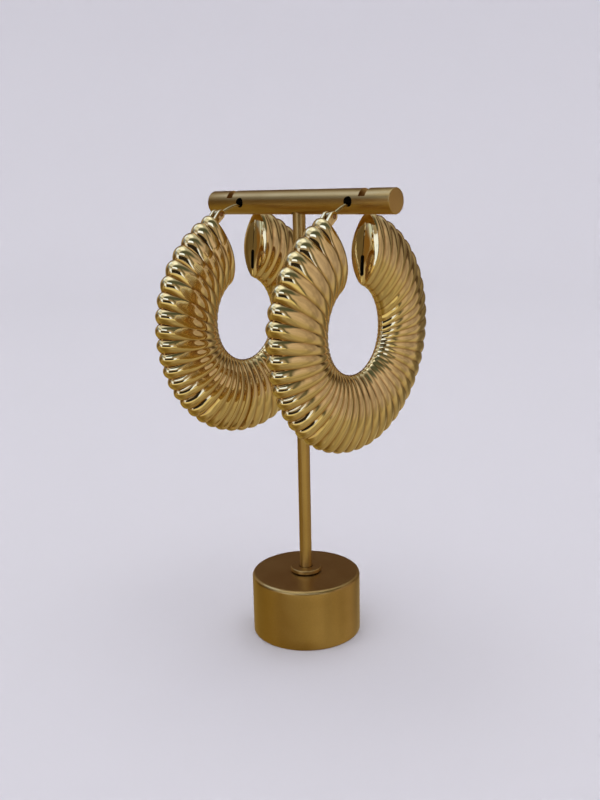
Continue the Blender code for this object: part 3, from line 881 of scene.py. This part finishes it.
def towards(azimuth, elevation):
    """A unit vector, azimuth in degrees from +Y round to +X, elevation above the horizon."""
    a, e = math.radians(azimuth), math.radians(elevation)
    return np.array([math.sin(a) * math.cos(e), math.cos(a) * math.cos(e), math.sin(e)])


def sight_along(direction):
    """How far the line of sight goes along a direction, as a socket."""
    part = node(tree, "ShaderNodeVectorMath", operation="DOT_PRODUCT")
    part.inputs[1].default_value = tuple(direction)
    link(look, part.inputs[0])
    return part.outputs["Value"]


def math_of(operation, first, second=None):
    """One Math node on sockets or numbers, as its output socket."""
    made = node(tree, "ShaderNodeMath", operation=operation)
    for slot, value in enumerate((first, second)):
        if isinstance(value, (int, float)):
            made.inputs[slot].default_value = value
        elif value is not None:
            link(value, made.inputs[slot])
    return made.outputs[0]


def inside(distance, edge, soft):
    """A mask that is one where the distance is under the edge and fades out over the softness."""
    fade = node(tree, "ShaderNodeMapRange", interpolation_type="SMOOTHSTEP",
                inputs={"From Min": edge + soft, "From Max": edge - soft})
    link(distance, fade.inputs["Value"])
    return fade.outputs["Result"]


def painted(under, colour, mask):
    """The colour laid over what is under it where the mask is one."""
    over = node(tree, "ShaderNodeMix", data_type="RGBA")
    link(mask, over.inputs["Factor"])
    link(under, over.inputs["A"])
    over.inputs["B"].default_value = (*colour, 1.0)
    return over.outputs["Result"]


def pool(under, azimuth, elevation, inner, outer, colour):
    """A round pool of colour: full within the inner angle of its middle, gone by the outer one."""
    gone, full = math.cos(math.radians(outer)), math.cos(math.radians(inner))
    fade = node(tree, "ShaderNodeMapRange", interpolation_type="SMOOTHSTEP",
                inputs={"From Min": gone, "From Max": full})
    link(sight_along(towards(azimuth, elevation)), fade.inputs["Value"])
    return painted(under, colour, fade.outputs["Result"])


def panel(under, azimuth, elevation, width, height, soft, colour):
    """A flat rectangle of colour facing the object: width, height and softness in degrees."""
    middle = towards(azimuth, elevation)
    right = np.array([math.cos(math.radians(azimuth)), -math.sin(math.radians(azimuth)), 0.0])
    depth = math_of("MAXIMUM", sight_along(middle), 0.001)
    half_wide, half_tall, blur = (math.tan(math.radians(x)) for x in (width / 2, height / 2, soft))
    sideways = math_of("ABSOLUTE", math_of("DIVIDE", sight_along(right), depth))
    upwards = math_of("ABSOLUTE", math_of("DIVIDE", sight_along(np.cross(right, middle)), depth))
    mask = math_of("MULTIPLY", inside(sideways, half_wide, blur), inside(upwards, half_tall, blur))
    return painted(under, colour, mask)


def mottled(under):
    """The colour under it, dimmed and brightened in soft patches, as on an uneven wall."""
    folds = node(tree, "ShaderNodeTexNoise", inputs={"Scale": 3.0, "Detail": 2.0, "Roughness": 0.45})
    link(look, folds.inputs["Vector"])
    level = node(tree, "ShaderNodeMapRange", interpolation_type="SMOOTHSTEP",
                 inputs={"From Min": 0.38, "From Max": 0.60, "To Min": 0.84, "To Max": 1.15})
    link(folds.outputs["Fac"], level.inputs["Value"])
    dimmed = node(tree, "ShaderNodeMix", data_type="RGBA", blend_type="MULTIPLY")
    dimmed.inputs["Factor"].default_value = 1.0
    link(under, dimmed.inputs["A"])
    link(level.outputs["Result"], dimmed.inputs["B"])
    return dimmed.outputs["Result"]


# The room's colour by elevation in degrees, from straight down to straight up.
stops = [(-90, (0.20, 0.14, 0.05)), (-45, (0.32, 0.25, 0.12)), (-15, (0.44, 0.36, 0.20)),
         (0, (0.42, 0.345, 0.22)), (25, (0.33, 0.28, 0.19)), (50, (0.44, 0.46, 0.42)),
         (62, (0.58, 0.63, 0.62)), (72, (1.1, 1.22, 1.28)), (90, (1.1, 1.22, 1.28))]
room = node(tree, "ShaderNodeValToRGB")
for angle, _ in stops[1:-1]:
    room.color_ramp.elements.new(angle / 180 + 0.5)
for element, (angle, colour) in zip(room.color_ramp.elements, stops):
    element.position = angle / 180 + 0.5
    element.color = (*colour, 1.0)
elevation = math_of("DIVIDE", math_of("ARCSINE", sight_along((0.0, 0.0, 1.0))), math.pi)
link(math_of("ADD", elevation, 0.5), room.inputs["Fac"])
total = room.outputs["Color"]

# Round patches, which the mottling breaks up: browns below, on the left and behind, a blue one at
# the front left, and lighter gold on the right, where the flanks of the hoops look.
for patch in ((172, -44, 25, 52, (0.20, 0.135, 0.035)), (-110, -40, 25, 55, (0.29, 0.215, 0.06)),
              (-135, 26, 8, 24, (0.19, 0.24, 0.34)), (-112, 0, 6, 26, (0.13, 0.085, 0.03)),
              (-135, 8, 10, 20, (0.15, 0.11, 0.05)), (-38, 18, 14, 46, (0.125, 0.078, 0.048)),
              (80, -20, 12, 45, (0.38, 0.31, 0.155)), (66, 22, 4, 44, (0.56, 0.45, 0.34)),
              (42, 2, 8, 26, (0.38, 0.30, 0.22)), (2, -8, 6, 24, (0.16, 0.12, 0.06))):
    total = pool(total, *patch)
total = mottled(total)

# Dark olive and brown cards on the right and behind, and bright ones on the left and at the
# front left, with a small brown patch under them.
for kind, *patch in ((panel, 100, 48, 80, 32, 9.0, (0.085, 0.10, 0.07)),
                     (panel, 88, 16, 11, 52, 5.0, (0.12, 0.115, 0.07)),
                     (panel, 19, 20, 15, 36, 5.0, (0.08, 0.055, 0.03)),
                     (pool, -111, 52, 4, 20, (0.90, 1.18, 1.85)),
                     (panel, -164, 52, 50, 18, 3.0, (0.75, 0.82, 0.84)),
                     (panel, -165, 25, 13, 16, 3.0, (0.60, 0.75, 0.85)),
                     (pool, -150, 10, 3, 10, (0.20, 0.105, 0.025))):
    total = kind(total, *patch)

# Behind the camera: a warm card below, bright ones above and beside it, and a dark one in front
# of the middle one.
for card in ((138, -15, 96, 14, 5.0, (0.78, 0.70, 0.38)), (137, 33, 40, 13, 1.5, (1.15, 1.42, 2.0)),
             (138, 4, 78, 22, 1.5, (1.0, 1.2, 1.6)), (178, 13, 24, 20, 1.5, (1.0, 1.2, 1.6)),
             (137, 5, 60, 23, 1.2, (0.025, 0.02, 0.012))):
    total = panel(total, *card)
seen_in_metal = tree.nodes.new("ShaderNodeBackground")
link(total, seen_in_metal.inputs["Color"])
even = node(tree, "ShaderNodeBackground", inputs={"Color": (1.0, 1.0, 1.0, 1.0), "Strength": 2.4})
path = tree.nodes.new("ShaderNodeLightPath")
either = tree.nodes.new("ShaderNodeMixShader")
link(path.outputs["Is Glossy Ray"], either.inputs["Fac"])
link(even.outputs["Background"], either.inputs[1])
link(seen_in_metal.outputs["Background"], either.inputs[2])
link(either.outputs["Shader"], tree.nodes.new("ShaderNodeOutputWorld").inputs["Surface"])
world.cycles.sampling_method = "NONE"
bpy.context.scene.view_settings.view_transform = "Standard"


# Camera: level with the cross bar, about 41 degrees round to the right of the front, and looking
# a little down, with a 41 mm lens on a 36 mm wide frame.
CAMERA_AZIMUTH = math.radians(41.04)
CAMERA_DISTANCE = 236.92 * MM
CAMERA_HEIGHT = 118.84 * MM
CAMERA_YAW = math.radians(0.18)
CAMERA_PITCH = math.radians(13.21)
CAMERA_ROLL = math.radians(-1.19)
CAMERA_LENS = 41.25
FRAME_HEIGHT = 800
CAMERA_SHIFT_UP = 6.74 / FRAME_HEIGHT

camera_data = bpy.data.cameras.new("camera")
camera_data.lens = CAMERA_LENS
camera_data.sensor_width = 36.0
camera_data.shift_y = CAMERA_SHIFT_UP
camera_data.clip_start = 0.01
camera_data.clip_end = 20.0
camera = bpy.data.objects.new("camera", camera_data)
bpy.context.scene.collection.objects.link(camera)
camera.location = (CAMERA_DISTANCE * math.sin(CAMERA_AZIMUTH),
                   -CAMERA_DISTANCE * math.cos(CAMERA_AZIMUTH), CAMERA_HEIGHT)
turned_to = CAMERA_AZIMUTH + CAMERA_YAW
upright = math.pi / 2 - CAMERA_PITCH
camera.matrix_world = (Matrix.Translation(camera.location) @ Matrix.Rotation(turned_to, 4, "Z")
                       @ Matrix.Rotation(upright, 4, "X") @ Matrix.Rotation(CAMERA_ROLL, 4, "Z"))
bpy.context.scene.camera = camera
